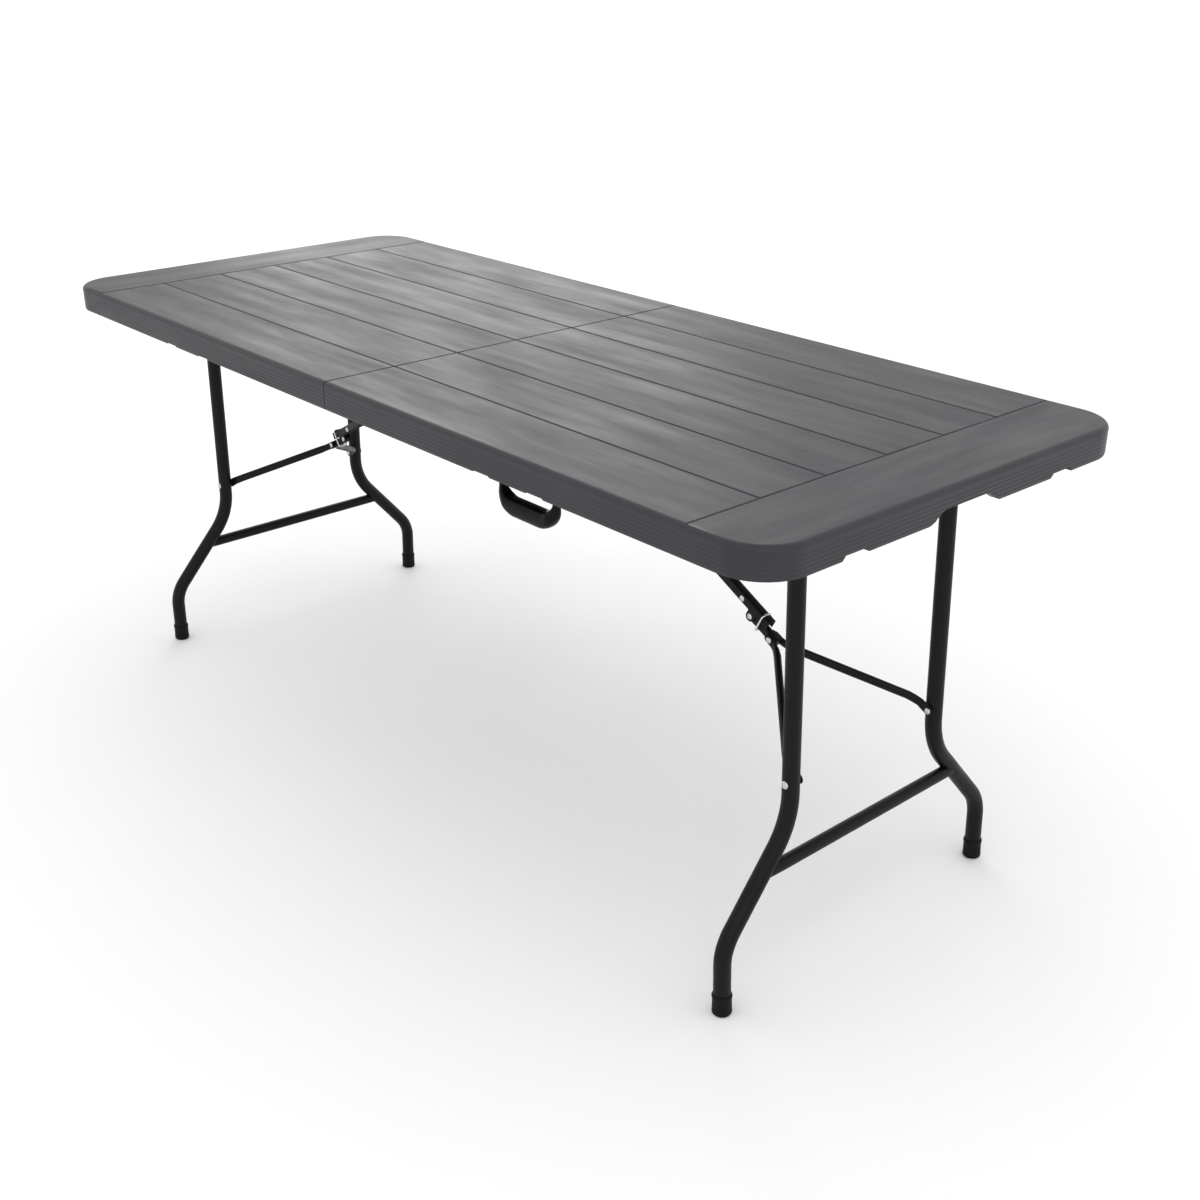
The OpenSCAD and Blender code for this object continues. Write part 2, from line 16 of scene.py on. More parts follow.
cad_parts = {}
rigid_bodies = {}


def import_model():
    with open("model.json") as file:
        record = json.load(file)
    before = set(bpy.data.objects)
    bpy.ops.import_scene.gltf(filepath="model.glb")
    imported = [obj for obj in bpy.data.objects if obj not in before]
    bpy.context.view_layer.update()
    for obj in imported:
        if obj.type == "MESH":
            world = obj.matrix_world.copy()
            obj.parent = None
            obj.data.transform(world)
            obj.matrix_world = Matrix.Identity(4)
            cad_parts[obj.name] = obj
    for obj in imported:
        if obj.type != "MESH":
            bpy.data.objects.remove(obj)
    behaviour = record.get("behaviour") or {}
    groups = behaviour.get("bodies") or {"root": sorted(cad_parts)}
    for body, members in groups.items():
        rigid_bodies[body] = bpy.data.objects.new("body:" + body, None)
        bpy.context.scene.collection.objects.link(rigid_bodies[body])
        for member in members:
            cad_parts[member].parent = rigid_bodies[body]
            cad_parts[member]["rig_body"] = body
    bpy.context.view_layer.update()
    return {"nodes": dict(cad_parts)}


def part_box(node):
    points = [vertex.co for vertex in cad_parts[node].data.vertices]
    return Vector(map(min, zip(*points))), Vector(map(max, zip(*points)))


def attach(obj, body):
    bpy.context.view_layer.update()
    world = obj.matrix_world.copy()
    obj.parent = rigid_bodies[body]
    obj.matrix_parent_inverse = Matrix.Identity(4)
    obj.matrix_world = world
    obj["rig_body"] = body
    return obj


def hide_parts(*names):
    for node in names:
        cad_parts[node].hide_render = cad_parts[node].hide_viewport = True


for leftover in list(bpy.data.objects):
    bpy.data.objects.remove(leftover)
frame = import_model()
nodes = frame["nodes"]
MM = 0.001

# %% [markdown]
# ## Camera
# The camera looks down along the long top from one corner, as in a catalogue. The plain display curve
# keeps the pale floor white beside a dark table, where a film curve would grey it.

# %% Camera
camera_data = bpy.data.cameras.new("corner_view")
camera_data.lens = 44.92
camera_data.clip_end = 200
camera = bpy.data.objects.new("corner_view", camera_data)
bpy.context.scene.collection.objects.link(camera)
camera.location = (1.905, -1.501, 1.376)
look = Vector((-0.681, 0.6027, -0.4159))
camera.rotation_euler = look.to_track_quat("-Z", "Y").to_euler()
bpy.context.scene.camera = camera
bpy.context.scene.view_settings.view_transform = "Standard"
print("camera at", tuple(camera.location))

# %% [markdown]
# ## Lights and sky
# The table stands in soft light. A softbox behind the far end gives the sheen on the planks, because
# a satin top shows the light it mirrors towards the viewer. A small lamp near the camera picks out
# the lines on the near corner, and a wide pale sky fills the rest.

# %% Lights and sky
def softbox(name, place, aim, size, power):
    """A square lamp that faces a point."""
    lamp = bpy.data.lights.new(name, "AREA")
    lamp.shape = "SQUARE"
    lamp.size = size
    lamp.energy = power
    holder = bpy.data.objects.new(name, lamp)
    bpy.context.scene.collection.objects.link(holder)
    holder.location = place
    holder.rotation_euler = (Vector(aim) - Vector(place)).to_track_quat("-Z", "Y").to_euler()
    return holder


softbox("key_over_front", (1.6, -2.6, 3.4), (0, 0, 0.5), 2.4, 7)
softbox("sheen_behind_left", (-3.6, 2.6, 1.9), (0, 0, 0.7), 2.2, 24)
softbox("fill_right", (3.6, 1.6, 1.8), (0.4, 0, 0.4), 2.0, 1.5)
softbox("corner_glow", (2.9, -2.0, 1.5), (0.84, -0.3, 0.71), 0.5, 5)

sky = bpy.data.worlds.new("pale_sky")
bpy.context.scene.world = sky
sky.use_nodes = True
sky.node_tree.nodes["Background"].inputs["Color"].default_value = (1, 1, 1, 1)
sky.node_tree.nodes["Background"].inputs["Strength"].default_value = 1.12

# %% [markdown]
# ## Finishes
# Each finish is a small recipe of noise patterns on the piece's own coordinates, so it stays put when
# the table folds. The helper below keeps a recipe short: it makes a node, sets its plain values and
# wires the rest. Colour, roughness and bump each get their own pattern, because a real surface never
# shines evenly.

# %% Recipe helper
class Recipe:
    """One material and the nodes that feed its shader."""

    def __init__(self, name, colour, roughness, metallic=0.0, shine=0.5):
        self.material = bpy.data.materials.new(name)
        self.material.use_nodes = True
        self.tree = self.material.node_tree
        self.shader = self.tree.nodes["Principled BSDF"]
        self.shader.inputs["Base Color"].default_value = (*colour, 1)
        self.shader.inputs["Roughness"].default_value = roughness
        self.shader.inputs["Metallic"].default_value = metallic
        self.shader.inputs["Specular IOR Level"].default_value = shine
        self.material.diffuse_color = (*colour, 1)
        self.place = self.add("ShaderNodeTexCoord").outputs["Object"]
        self.relief = None

    def add(self, kind, wires=None, **settings):
        node = self.tree.nodes.new(kind)
        for key, value in settings.items():
            setattr(node, key, value)
        for key, value in (wires or {}).items():
            if isinstance(value, bpy.types.NodeSocket):
                self.tree.links.new(value, node.inputs[key])
            else:
                node.inputs[key].default_value = value
        return node

    def noise(self, scale, detail=4.0, rough=0.5, place=None, stretch=(1, 1, 1)):
        spread = self.add("ShaderNodeMapping", {"Vector": place or self.place, "Scale": stretch})
        return self.add("ShaderNodeTexNoise", {"Vector": spread.outputs[0], "Scale": scale,
                                               "Detail": detail, "Roughness": rough}).outputs["Fac"]

    def between(self, value, low, high, start=0.3, end=0.7):
        return self.add("ShaderNodeMapRange", {"Value": value, "From Min": start, "From Max": end,
                                               "To Min": low, "To Max": high}).outputs[0]

    def blend(self, factor, one, two):
        mix = self.add("ShaderNodeMix", data_type="RGBA")
        self.tree.links.new(factor, mix.inputs["Factor"])
        mix.inputs[6].default_value = (*one, 1)
        mix.inputs[7].default_value = (*two, 1)
        return mix.outputs[2]

    def emboss(self, height, distance, strength=1.0):
        wires = {"Height": height, "Distance": distance, "Strength": strength}
        if self.relief is not None:
            wires["Normal"] = self.relief
        self.relief = self.add("ShaderNodeBump", wires).outputs[0]
        self.tree.links.new(self.relief, self.shader.inputs["Normal"])

    def feed(self, socket, value):
        self.tree.links.new(value, self.shader.inputs[socket])


print("recipe helper ready")

# %% [markdown]
# ## Grey moulded plastic
# The top is blow-moulded polyethylene with a faint wood grain pressed into each plank. The grain runs
# along the table on the planks and across it on the two end bands, so the coordinates are swapped
# past the cross groove. Each plank also shifts the pattern by a step of its own, which stops the
# grain from running on into its neighbour.

# %% Grey moulding
panel_low, panel_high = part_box("right_top_panel")
PLANK = 120.4 * MM
BAND_X = panel_high.x - 129 * MM


def grey_moulding():
    r = Recipe("grey moulded plastic", (0.023, 0.0227, 0.027), 0.45, shine=0.36)
    split = r.add("ShaderNodeSeparateXYZ", {"Vector": r.place})
    x, y, z = split.outputs
    plank = r.add("ShaderNodeMath", {0: y, 1: PLANK}, operation="DIVIDE")
    plank = r.add("ShaderNodeMath", {0: plank.outputs[0]}, operation="FLOOR")
    shift = r.add("ShaderNodeMath", {0: plank.outputs[0], 1: 1.37, 2: x}, operation="MULTIPLY_ADD")
    along = r.add("ShaderNodeCombineXYZ", {"X": shift.outputs[0], "Y": y, "Z": z})
    across = r.add("ShaderNodeCombineXYZ", {"X": y, "Y": x, "Z": z})
    far = r.add("ShaderNodeMath", {0: x}, operation="ABSOLUTE")
    band = r.add("ShaderNodeMath", {0: far.outputs[0], 1: BAND_X}, operation="GREATER_THAN")
    swap = r.add("ShaderNodeMix", data_type="VECTOR")
    r.tree.links.new(band.outputs[0], swap.inputs["Factor"])
    r.tree.links.new(along.outputs[0], swap.inputs[4])
    r.tree.links.new(across.outputs[0], swap.inputs[5])
    grain_place = swap.outputs[1]
    streaks = r.noise(1.0, 5, 0.6, grain_place, (4, 26, 26))
    cloud = r.noise(9, 3)
    grain = r.noise(1.0, 6, 0.62, grain_place, (14, 420, 420))
    pebble = r.noise(1500, 2)
    tone = r.add("ShaderNodeMath", {0: streaks, 1: 0.7, 2: r.between(cloud, 0.0, 0.3)},
                 operation="MULTIPLY_ADD").outputs[0]
    r.feed("Base Color", r.blend(r.between(tone, 0, 1, 0.3, 0.85), (0.018, 0.0177, 0.022),
                                 (0.028, 0.0273, 0.034)))
    r.feed("Roughness", r.between(streaks, 0.36, 0.52))
    r.emboss(grain, 0.22 * MM, 0.8)
    r.emboss(pebble, 0.05 * MM, 0.6)
    return r.material


GREY = grey_moulding()
print("made", GREY.name)

# %% [markdown]
# ## Black steel, black plastic and bright metal
# Powder coat has an orange-peel skin and small dull scuffs. The handle is a glossier plastic and the
# feet are matt rubber. Rivets and screws are zinc with a cloudy shine, and the lock rings are plated
# wire, the brightest metal on the table.

# %% Black finishes
def black_steel():
    r = Recipe("black powder coat", (0.006, 0.006, 0.0065), 0.42, shine=0.15)
    peel = r.noise(900, 2)
    cloud = r.noise(22, 4)
    scuff = r.noise(160, 6, 0.7)
    r.feed("Base Color", r.blend(r.between(scuff, 0, 1, 0.62, 0.72), (0.0045, 0.0045, 0.005),
                                 (0.010, 0.010, 0.0108)))
    r.feed("Roughness", r.between(cloud, 0.34, 0.5))
    r.emboss(peel, 0.05 * MM, 0.5)
    return r.material


def black_plastic(name, shine_low, shine_high, shade):
    r = Recipe(name, (shade,) * 3, shine_low, shine=0.1)
    cloud = r.noise(45, 4)
    skin = r.noise(2200, 2)
    r.feed("Base Color", r.blend(r.between(cloud, 0, 1), (shade,) * 3, (shade * 1.6,) * 3))
    r.feed("Roughness", r.between(cloud, shine_low, shine_high))
    r.emboss(skin, 0.03 * MM, 0.5)
    return r.material


def bright_metal(name, colour, shine_low, shine_high):
    r = Recipe(name, colour, shine_low, 1.0)
    cloud = r.noise(260, 5, 0.65)
    draw = r.noise(1.0, 3, 0.5, stretch=(500, 500, 2400))
    darker = tuple(c * 0.72 for c in colour)
    r.feed("Base Color", r.blend(r.between(cloud, 0, 1), darker, colour))
    r.feed("Roughness", r.between(cloud, shine_low, shine_high))
    r.emboss(draw, 0.02 * MM, 0.4)
    return r.material


STEEL = black_steel()
HANDLE_PLASTIC = black_plastic("glossy black plastic", 0.2, 0.34, 0.003)
RUBBER = black_plastic("black rubber", 0.5, 0.66, 0.005)
ZINC = bright_metal("zinc", (0.66, 0.67, 0.69), 0.24, 0.42)
PLATED = bright_metal("plated wire", (0.82, 0.82, 0.84), 0.1, 0.22)
print("finishes:", [m.name for m in (STEEL, HANDLE_PLASTIC, RUBBER, ZINC, PLATED)])

# %% [markdown]
# ## Pale floor
# The floor is one large plain sheet under the table, and its edge lies too far out to show.

# %% Pale floor
def pale_floor():
    r = Recipe("pale floor", (0.93, 0.93, 0.93), 0.7)
    r.feed("Roughness", r.between(r.noise(3, 3), 0.6, 0.8))
    mesh = bpy.data.meshes.new("floor")
    reach = 80
    corners = [(-reach, -reach, 0), (reach, -reach, 0), (reach, reach, 0), (-reach, reach, 0)]
    mesh.from_pydata(corners, [], [(0, 1, 2, 3)])
    floor = bpy.data.objects.new("floor", mesh)
    mesh.materials.append(r.material)
    bpy.context.scene.collection.objects.link(floor)
    return floor


print("floor:", pale_floor().name)

# %% [markdown]
# ## Helpers for meshes
# Most pieces here are a stack of rings: a rim is its outline drawn again and again at small steps in
# and up, and a tube is a circle drawn along a path. One helper joins any stack of rings into a closed
# shell, another turns a mesh into a piece that rides on a body and stands for its CAD nodes.

# %% Ring stacks and pieces
def shell_from_rings(rings, closed_along=False):
    """Joins rings of equal count into a skin, with a face over each end unless it closes on itself."""
    bm = bmesh.new()
    rows = [[bm.verts.new(p) for p in ring] for ring in rings]
    count = len(rings[0])
    last = len(rows) if closed_along else len(rows) - 1
    for i in range(last):
        a, b = rows[i], rows[(i + 1) % len(rows)]
        for j in range(count):
            k = (j + 1) % count
            bm.faces.new((a[j], a[k], b[k], b[j]))
    if not closed_along:
        bm.faces.new(list(reversed(rows[0])))
        bm.faces.new(rows[-1])
    bmesh.ops.recalc_face_normals(bm, faces=bm.faces)
    return bm


def object_from(bm, name, finish, angle=35):
    mesh = bpy.data.meshes.new(name)
    bm.to_mesh(mesh)
    bm.free()
    mesh.shade_smooth()
    mesh.set_sharp_from_angle(angle=math.radians(angle))
    mesh.materials.append(finish)
    piece = bpy.data.objects.new(name, mesh)
    bpy.context.scene.collection.objects.link(piece)
    return piece


def settle(piece, body, slot, *stands_for):
    """The piece rides on a body and replaces its CAD nodes. The slot is not used."""
    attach(piece, body)
    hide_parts(*stands_for)
    return piece


def bake(piece):
    """Turns a piece's modifiers into its mesh."""
    result = bpy.data.meshes.new_from_object(piece.evaluated_get(bpy.context.evaluated_depsgraph_get()))
    old = piece.data
    piece.modifiers.clear()
    piece.data = result
    bpy.data.meshes.remove(old)
    return piece


def body_of_node(name):
    return nodes[name]["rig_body"]


print("mesh helpers ready")

# %% [markdown]
# ## Geometry Nodes helper
# A tree with named inputs is worth the trouble wherever one shape repeats. This helper keeps the
# names of the inputs with their sockets, because a modifier's input is set by the socket's
# identifier. The grown result is baked to a plain mesh at once.

# %% Tree helper
class GrowTree:
    """A Geometry Nodes tree with named sizes."""

    def __init__(self, name):
        self.group = bpy.data.node_groups.new(name, "GeometryNodeTree")
        self.group.interface.new_socket("Geometry", in_out="INPUT", socket_type="NodeSocketGeometry")
        self.group.interface.new_socket("Geometry", in_out="OUTPUT", socket_type="NodeSocketGeometry")
        self.start = self.group.nodes.new("NodeGroupInput")
        self.end = self.group.nodes.new("NodeGroupOutput")
        self.names = {}

    def input(self, name, kind, value=None):
        socket = self.group.interface.new_socket(name, in_out="INPUT", socket_type="NodeSocket" + kind)
        if value is not None:
            socket.default_value = value
        self.names[name] = socket.identifier
        return self.start.outputs[name]

    def add(self, kind, wires=None, **settings):
        node = self.group.nodes.new(kind)
        for key, value in settings.items():
            setattr(node, key, value)
        for key, value in (wires or {}).items():
            if isinstance(value, bpy.types.NodeSocket):
                self.group.links.new(value, node.inputs[key])
            else:
                node.inputs[key].default_value = value
        return node

    def finish(self, geometry):
        paint = self.input("Finish", "Material")
        real = self.add("GeometryNodeRealizeInstances", {"Geometry": geometry})
        painted = self.add("GeometryNodeSetMaterial", {"Geometry": real.outputs[0], "Material": paint})
        self.group.links.new(painted.outputs[0], self.end.inputs[0])

    def grow(self, seed, **sizes):
        modifier = seed.modifiers.new(self.group.name, "NODES")
        modifier.node_group = self.group
        for name, value in sizes.items():
            modifier[self.names[name.replace("_", " ")]] = value
        return bake(seed)


def seed_object(name, points=(), facings=None):
    """Loose points for a tree to start from, each with the way it faces."""
    mesh = bpy.data.meshes.new(name)
    mesh.from_pydata([tuple(p) for p in points], [], [])
    if facings is not None:
        attribute = mesh.attributes.new("facing", "FLOAT_VECTOR", "POINT")
        attribute.data.foreach_set("vector", [c for f in facings for c in f])
    seed = bpy.data.objects.new(name, mesh)
    bpy.context.scene.collection.objects.link(seed)
    return seed


print("tree helper ready")

# %% [markdown]
# ## The moulded top halves
# A real half is blown into a mould as one hollow shell: a flat plank top, a deep rounded rim and an
# underside that meets the top at rows of small dimples, which tie the two skins together. It could be
# modelled as a box with bevels, but the rim's lip, its soft top edge and the inner corner all follow
# the same outline, so a stack of outlines gives every one of them at once.

# %% Outline rings of a half
CORNER = 72 * MM
RIM = 12 * MM
SEAM_RIM = 8 * MM
UNDER = panel_high.z - 15 * MM
ARC_STEPS = 20
RIDGES = 5
RIDGE_DEPTH = 0.6 * MM
RIDGE_PITCH = 5.6 * MM


def half_ring(inset, seam, z):
    """The outline of the right half, drawn in by an inset, from the seam at the front to the back."""
    w = panel_high.y - inset
    r = CORNER - inset
    cx, cy = panel_high.x - CORNER, panel_high.y - CORNER
    ring = [(panel_low.x + seam, -w, z)]
    for sign, start in ((-1, -90), (1, 0)):
        for i in range(ARC_STEPS + 1):
            a = math.radians(start + 90 * i / ARC_STEPS)
            ring.append((cx + r * math.cos(a), sign * cy + r * math.sin(a), z))
    ring.append((panel_low.x + seam, w, z))
    return ring


def ridge_steps(low, pitch):
    """Fine raised lines round the rim: the inset swings in and out once for each line."""
    steps = []
    for i in range(RIDGES * 6 + 1):
        wave = 0.5 + 0.5 * math.cos(2 * math.pi * i / 6)
        steps.append((RIDGE_DEPTH * wave ** 0.7, 0, low + pitch * i / 6))
    return steps


def rim_profile():
    """Steps of inset, seam inset and height from the underside round the lip to the flat top."""
    low, top, edge = panel_low.z, panel_high.z, 8 * MM
    steps = [(RIM + 3.5 * MM, SEAM_RIM + 3.5 * MM, UNDER), (RIM + 3 * MM, SEAM_RIM + 3 * MM, UNDER)]
    for i in range(1, 4):
        a = math.radians(90 * i / 3)
        steps.append((RIM + 3 * MM * (1 - math.sin(a)), SEAM_RIM + 3 * MM * (1 - math.sin(a)),
                      UNDER - 3 * MM * (1 - math.cos(a))))
    steps += [(RIM, SEAM_RIM, low + 1.5 * MM), (RIM - 0.4 * MM, SEAM_RIM - 0.4 * MM, low + 0.4 * MM),
              (RIM - 1.5 * MM, SEAM_RIM - 1.5 * MM, low), (2 * MM, 1.5 * MM, low),
              (1 * MM, 0.4 * MM, low + 0.5 * MM), (RIDGE_DEPTH, 0, low + 1.6 * MM)]
    steps += ridge_steps(low + 2.4 * MM, RIDGE_PITCH)
    for i in range(9):
        a = math.radians(90 * i / 8)
        inset = edge * (1 - math.cos(a)) if i else 0.0
        steps.append((inset, 1.2 * MM * (1 - math.cos(a)), top - edge + edge * math.sin(a)))
    steps.append((edge + 0.8 * MM, 2 * MM, top))
    return steps


half_rings = [half_ring(*step) for step in rim_profile()]
print("outline rings:", len(half_rings), "of", len(half_rings[0]), "points")

# %% [markdown]
# ## Dimples under the top
# The dimples sit on a regular grid, so they are grown by a tree: a grid of points, minus the strip
# where the brace link folds away, each with a small cone. The cones are cutters. They are taken out
# of the shell together with the channel and the notches.

# %% Dimple tree
def dimple_tree():
    t = GrowTree("kiss-off dimples")
    length, width = t.input("Length", "Float"), t.input("Width", "Float")
    columns, rows = t.input("Columns", "Int"), t.input("Rows", "Int")
    radius, depth = t.input("Radius", "Float"), t.input("Depth", "Float")
    middle, clear = t.input("Middle", "Vector"), t.input("Clear strip", "Float")
    grid = t.add("GeometryNodeMeshGrid", {"Size X": length, "Size Y": width, "Vertices X": columns,
                                          "Vertices Y": rows})
    place = t.add("GeometryNodeInputPosition")
    y = t.add("ShaderNodeSeparateXYZ", {0: place.outputs[0]}).outputs[1]
    off = t.add("ShaderNodeMath", {0: y}, operation="ABSOLUTE")
    near = t.add("FunctionNodeCompare", {0: off.outputs[0], 1: clear}, operation="LESS_THAN")
    kept = t.add("GeometryNodeDeleteGeometry", {"Geometry": grid.outputs[0],
                                                "Selection": near.outputs[0]})
    tip = t.add("ShaderNodeMath", {0: radius, 1: 0.62}, operation="MULTIPLY")
    cone = t.add("GeometryNodeMeshCone", {"Vertices": 16, "Radius Bottom": radius,
                                          "Radius Top": tip.outputs[0], "Depth": depth})
    spots = t.add("GeometryNodeInstanceOnPoints", {"Points": kept.outputs[0],
                                                   "Instance": cone.outputs[0]})
    moved = t.add("GeometryNodeTransform", {"Geometry": spots.outputs[0], "Translation": middle})
    t.finish(moved.outputs[0])
    return t


dimples = dimple_tree()
print("tree:", dimples.group.name, "inputs:", list(dimples.names))

# %% [markdown]
# ## Outlines for cutting
# Grooves, notches and channels are straight runs of one outline, so each of them is a prism. An
# outline is drawn once, from its own middle, and placed where it is needed. The arch of the hand
# recess has S-shaped flanks, because a hand slides under it and would feel a hard corner.

# %% Cutting outlines
def prism(bm, outline, place, direction):
    """Adds a closed prism: the outline's points go through place, then stretch along a direction."""
    a = [bm.verts.new(place(*p)) for p in outline]
    b = [bm.verts.new(v.co + Vector(direction)) for v in a]
    faces = [bm.faces.new(a), bm.faces.new(list(reversed(b)))]
    n = len(outline)
    for i in range(n):
        faces.append(bm.faces.new((a[i], b[i], b[(i + 1) % n], a[(i + 1) % n])))
    bmesh.ops.recalc_face_normals(bm, faces=faces)


def groove_outline(depth=1.5):
    """A narrow flat-bottomed groove with soft shoulders."""
    right = [(3.2, 0.35), (2.3, -0.06), (1.7, -0.32), (1.15, -depth * 0.72), (0.6, -depth)]
    side = right + [(-y, z) for y, z in reversed(right)]
    return [(y * MM, z * MM) for y, z in side]


def hand_recess_outline():
    """A shallow arch with S-shaped flanks."""
    flat, reach, depth, steps = 40 * MM, 76 * MM, 16 * MM, 12
    flank = []
    for i in range(steps + 1):
        t = i / steps
        flank.append((flat + (reach - flat) * t, depth * (1 - t * t * (3 - 2 * t))))
    flank[-1] = (reach, 0)
    low = -2 * MM
    return [(-reach, low), (reach, low)] + flank[::-1] + [(-y, z) for y, z in flank]


def notch_outline(half_width, depth):
    slope = depth * 0.8
    return [(-half_width - slope, -MM), (half_width + slope, -MM), (half_width, depth),
            (-half_width, depth)]


print("cutting outlines ready")

# %% [markdown]
# ## Cutters for a half
# In the real mould these shapes stand up from the wall and the plastic is blown against them. Here
# they are cutters taken out of the shell, so one prism goes through rim, lip and fine lines alike.
# The edges that the cut leaves on the lip are rounded afterwards.

# %% Cutters
def underside_cutters():
    """The hand recess, the notches in the rims, the gaps at the hinges and the link's channel."""
    bm = bmesh.new()
    low, end = panel_low.z, panel_high.x
    end_notch, side_notch = notch_outline(20 * MM, 7 * MM), notch_outline(17 * MM, 2.5 * MM)
    for outline, y in ((hand_recess_outline(), 0), (end_notch, -212 * MM), (end_notch, 212 * MM)):
        prism(bm, outline, lambda v, z, y=y: (end - RIM - MM, y + v, low + z), (RIM + 3 * MM, 0, 0))
    for s in (-1, 1):
        for x in (385 * MM, 497 * MM):
            start = s * (panel_high.y + MM)
            prism(bm, side_notch, lambda v, z, x=x, start=start: (x + v, start, low + z),
                  (0, -s * (RIM + 2 * MM), 0))
        past_rim, roof = SEAM_RIM + 2 * MM, UNDER - low - 0.2 * MM
        gap = [(-2 * MM, -MM), (past_rim, -MM), (past_rim, roof), (-2 * MM, roof)]
        prism(bm, gap, lambda v, z, s=s: (v, s * (panel_high.y - RIM), low + z), (0, -s * 27 * MM, 0))
    channel = [(-15 * MM, -2 * MM), (15 * MM, -2 * MM), (15 * MM, 8.3 * MM), (13 * MM, 10.3 * MM),
               (-13 * MM, 10.3 * MM), (-15 * MM, 8.3 * MM)]
    prism(bm, channel, lambda v, z: (20 * MM, v, UNDER + z), (652 * MM, 0, 0))
    return bm


def plank_groove_cutters():
    bm = bmesh.new()
    for i in range(-2, 3):
        prism(bm, groove_outline(), lambda v, z, i=i: (-5 * MM, i * PLANK + v, panel_high.z + z),
              (BAND_X + 5 * MM, 0, 0))
    return bm


def cross_groove_cutter():
    bm = bmesh.new()
    prism(bm, groove_outline(), lambda v, z: (BAND_X + v, -0.5, panel_high.z + z), (0, 1, 0))
    return bm


def soften_cut_edges(piece):
    """Rounds the sharp edges that the notches leave along the lip of the end rim."""
    bm = bmesh.new()
    bm.from_mesh(piece.data)
    start = panel_high.x - RIM - 0.5 * MM
    picked = [e for e in bm.edges if len(e.link_faces) == 2 and e.calc_face_angle(0) > 0.9
              and all(v.co.x > start and v.co.z < panel_low.z + 17 * MM for v in e.verts)]
    bmesh.ops.bevel(bm, geom=picked, offset=0.7 * MM, segments=2, affect="EDGES", clamp_overlap=True)
    bm.to_mesh(piece.data)
    bm.free()


def carve(piece, cutter):
    cut = piece.modifiers.new("cut", "BOOLEAN")
    cut.operation, cut.solver, cut.object = "DIFFERENCE", "EXACT", cutter
    bake(piece)
    bpy.data.objects.remove(cutter)


print("cutters ready")

# %% [markdown]
# ## Cutting and finishing a half
# The shell is cut four times: the dimples, the underside, the plank grooves and the cross groove. The
# weighted normals at the end matter: the flat planks keep a flat shade and the bending happens on the
# small faces of the edges.

# %% Build both halves
def top_half(side, s):
    piece = object_from(shell_from_rings(half_rings), side + "_moulded_top", GREY)
    cones = seed_object("cones")
    dimples.grow(cones, Length=0.74, Width=0.6, Columns=13, Rows=10, Radius=7 * MM, Depth=9 * MM,
                 Middle=(0.44, 0, UNDER - MM), Clear_strip=30 * MM, Finish=GREY)
    carve(piece, cones)
    carve(piece, object_from(underside_cutters(), "cutter", GREY))
    soften_cut_edges(piece)
    for bm in (plank_groove_cutters(), cross_groove_cutter()):
        carve(piece, object_from(bm, "cutter", GREY))
    if s < 0:
        piece.data.transform(Matrix.Scale(-1, 4, (1, 0, 0)))
        piece.data.flip_normals()
    piece.data.materials.clear()
    piece.data.materials.append(GREY)
    piece.data.polygons.foreach_set("material_index", [0] * len(piece.data.polygons))
    piece.data.shade_smooth()
    piece.data.set_sharp_from_angle(angle=math.radians(33))
    weigh = piece.modifiers.new("even shade", "WEIGHTED_NORMAL")
    weigh.keep_sharp = True
    return settle(piece, body_of_node(side + "_top_panel"), "grey_moulding", side + "_top_panel")


for side, s in (("left", -1), ("right", 1)):
    half = top_half(side, s)
    print(half.name, len(half.data.polygons), "faces")

# %% [markdown]
# ## Tubes
# The leg frames are bent tube. A curve object with a bevel could do it, but here the path is a list
# of points and each point carries its own section, because the brace tubes go from a flat tab through
# round tube to another flat tab. The same loft makes legs, cross bars, braces and the handle.

# %% Loft along a path
def section(centre, across, up, half_a, half_b, power=2.0, count=28):
    """A ring from an ellipse to a rounded box, as the power grows."""
    ring = []
    for i in range(count):
        a = 2 * math.pi * i / count
        c, d = math.cos(a), math.sin(a)
        e = 2 / power
        ring.append(centre + across * half_a * math.copysign(abs(c) ** e, c)
                    + up * half_b * math.copysign(abs(d) ** e, d))
    return ring


def loft(stations, name, finish, up=None, count=28, angle=40):
    """Stations are (centre, half_a, half_b, power). Small last stations give a rounded end."""
    points = [Vector(s[0]) for s in stations]
    rings = []
    side = None
    for i, (_, half_a, half_b, power) in enumerate(stations):
        before, after = points[max(i - 1, 0)], points[min(i + 1, len(points) - 1)]
        ahead = (after - before).normalized()
        if up is not None:
            side = ahead.cross(Vector(up)).normalized()
        else:
            guess = side or (Vector((1, 0, 0)) if abs(ahead.x) < 0.9 else Vector((0, 1, 0)))
            side = (guess - ahead * guess.dot(ahead)).normalized()
        rings.append(section(points[i], side, side.cross(ahead).normalized(), half_a, half_b, power,
                             count))
    return object_from(shell_from_rings(rings), name, finish, angle)


def arc_points(a, corner, b, radius, steps=14):
    """The rounded corner between two straight runs."""
    u, v = (a - corner).normalized(), (b - corner).normalized()
    half = u.angle(v) / 2
    centre = corner + (u + v).normalized() * radius / math.sin(half)
    start, end = corner + u * radius / math.tan(half), corner + v * radius / math.tan(half)
    ca, cb = start - centre, end - centre
    turn = ca.angle(cb)
    out = []
    for i in range(steps + 1):
        t = i / steps
        out.append(centre + (ca * math.sin((1 - t) * turn) + cb * math.sin(t * turn)) / math.sin(turn))
    return out


print("loft ready")

# %% [markdown]
# ## Leg frames
# Each leg goes straight down beside its partner, splays outwards and ends upright in a foot cap. The
# frame leans out by two degrees, so its path is drawn in a flat plane first and then leaned.

# %% Legs
LEAN = math.radians(2)
LEG_R = 12.5 * MM
LEG_X, LEG_Z = 762 * MM, 709.5 * MM
UP_Y, FOOT_Y = 157.5 * MM, 287 * MM


